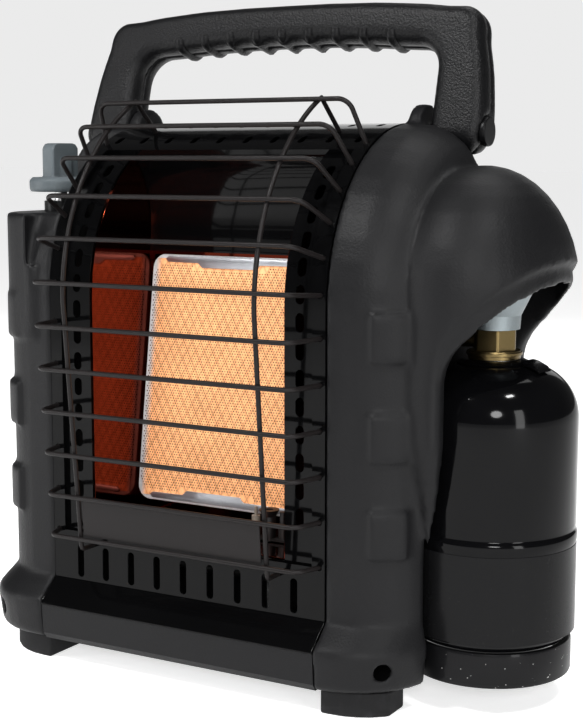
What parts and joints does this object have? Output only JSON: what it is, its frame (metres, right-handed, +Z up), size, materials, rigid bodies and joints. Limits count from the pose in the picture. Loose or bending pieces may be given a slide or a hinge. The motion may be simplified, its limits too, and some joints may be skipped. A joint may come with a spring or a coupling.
{
  "type": "portable propane heater",
  "caption": "Portable radiant gas heater: curved steel front with wire guard, moulded side shells, folding carry handle, push-and-turn knob, and a gas cylinder on a swing-out regulator.",
  "frame": {"origin": "centre of the overall box at floor height, under the feet", "axes": "+Z up; the burner faces -Y; the gas cylinder hangs on the +X side"},
  "size_m": [0.36, 0.1885, 0.3962],
  "materials": {
    "shell_plastic": "fine grained",
    "handle_plastic": "coarse grained",
    "cap_plastic": "satin",
    "foot_rubber": "matte",
    "black_enamel": "gloss",
    "dark_steel": "satin",
    "guard_wire": "satin",
    "burner_ceramic": "matte ceramic",
    "bright_steel": "satin",
    "plated_steel": "satin",
    "black_steel": "satin",
    "brass": "machined",
    "copper": "satin",
    "white_ceramic": "glazed",
    "igniter_plastic": "gloss",
    "cast_zinc": "cast, satin",
    "knob_plastic": "fine grained",
    "cylinder_paint": "gloss",
    "cylinder_wrap": "satin film",
    "boot_plastic": "satin"
  },
  "bodies": {
    "case": {"base_pan": "shell_plastic", "base_trim": "black_enamel", "left_shell": "shell_plastic", "right_shell": "shell_plastic", "rear_cover": "shell_plastic", "front_bezel": "black_enamel", "wire_guard": "guard_wire", "guard_plate": "guard_wire", "reflector": "black_enamel", "heat_deflector": "black_enamel", "heat_shield": "dark_steel", "burner_plenum": "plated_steel", "burner_tile": "burner_ceramic", "burner_clamps": "bright_steel", "venturi_tube": "bright_steel", "gas_jet": "brass", "jet_bracket": "plated_steel", "gas_valve": "cast_zinc", "valve_bushing": "cap_plastic", "supply_tube": "bright_steel", "burner_tube": "bright_steel", "pilot_burner": "brass", "pilot_tube": "bright_steel", "thermocouple": "copper", "spark_electrode": "white_ceramic", "piezo_igniter": "igniter_plastic", "tip_switch": "plated_steel", "swing_bracket": "plated_steel", "swing_spigot": "brass", "handle_bolts": "bright_steel", "case_screws": "black_steel", "rear_screws": "black_steel", "feet": "foot_rubber"},
    "handle": {"handle_front": "handle_plastic", "handle_rear": "handle_plastic", "handle_screws": "bright_steel", "pivot_caps": "cap_plastic"},
    "spindle": {"valve_spindle": "bright_steel"},
    "knob": {"control_knob": "knob_plastic", "knob_insert": "bright_steel"},
    "regulator": {"regulator_body": "cast_zinc", "regulator_cover": "cast_zinc", "cover_screws": "bright_steel", "inlet_nut": "brass"},
    "seal": {"thread_seal": "copper"},
    "cylinder": {"cylinder_body": "cylinder_paint", "cylinder_neck": "bright_steel", "neck_collar": "cylinder_paint", "collar_tab": "cylinder_paint", "cylinder_foot": "boot_plastic", "cylinder_band": "cylinder_wrap"}
  },
  "joints": [
    {"name": "handle_fold", "type": "hinge", "parent": "case", "child": "handle", "pos_m": [0, 0.04395, 0.318], "axis": [-1, 0, 0], "range_deg": [0, 75]},
    {"name": "knob_turn", "type": "hinge", "parent": "case", "child": "spindle", "pos_m": [-0.1515, -0.01555, 0.285], "axis": [0, 0, 1], "range_deg": [0, 240]},
    {"name": "knob_push", "type": "slide", "parent": "spindle", "child": "knob", "axis": [0, 0, -1], "range_m": [0, 0.005], "stiffness_N_per_m": 1500, "springref_m": -0.002},
    {"name": "regulator_swing", "type": "hinge", "parent": "case", "child": "regulator", "pos_m": [0.132, 0.00945, 0.25], "axis": [0, -1, 0], "range_deg": [0, 40]},
    {"name": "cylinder_unscrew", "type": "hinge", "parent": "regulator", "child": "seal", "pos_m": [0.132, 0.00945, 0.19], "axis": [0, 0, -1], "range_deg": [0, 3600]},
    {"name": "cylinder_drop", "type": "slide", "parent": "seal", "child": "cylinder", "axis": [0, 0, -1], "range_m": [0, 0.0128]}
  ],
  "couplings": [
    {"joint": "cylinder_drop", "follows": "cylinder_unscrew", "m_per_rad": 0.00020213}
  ]
}
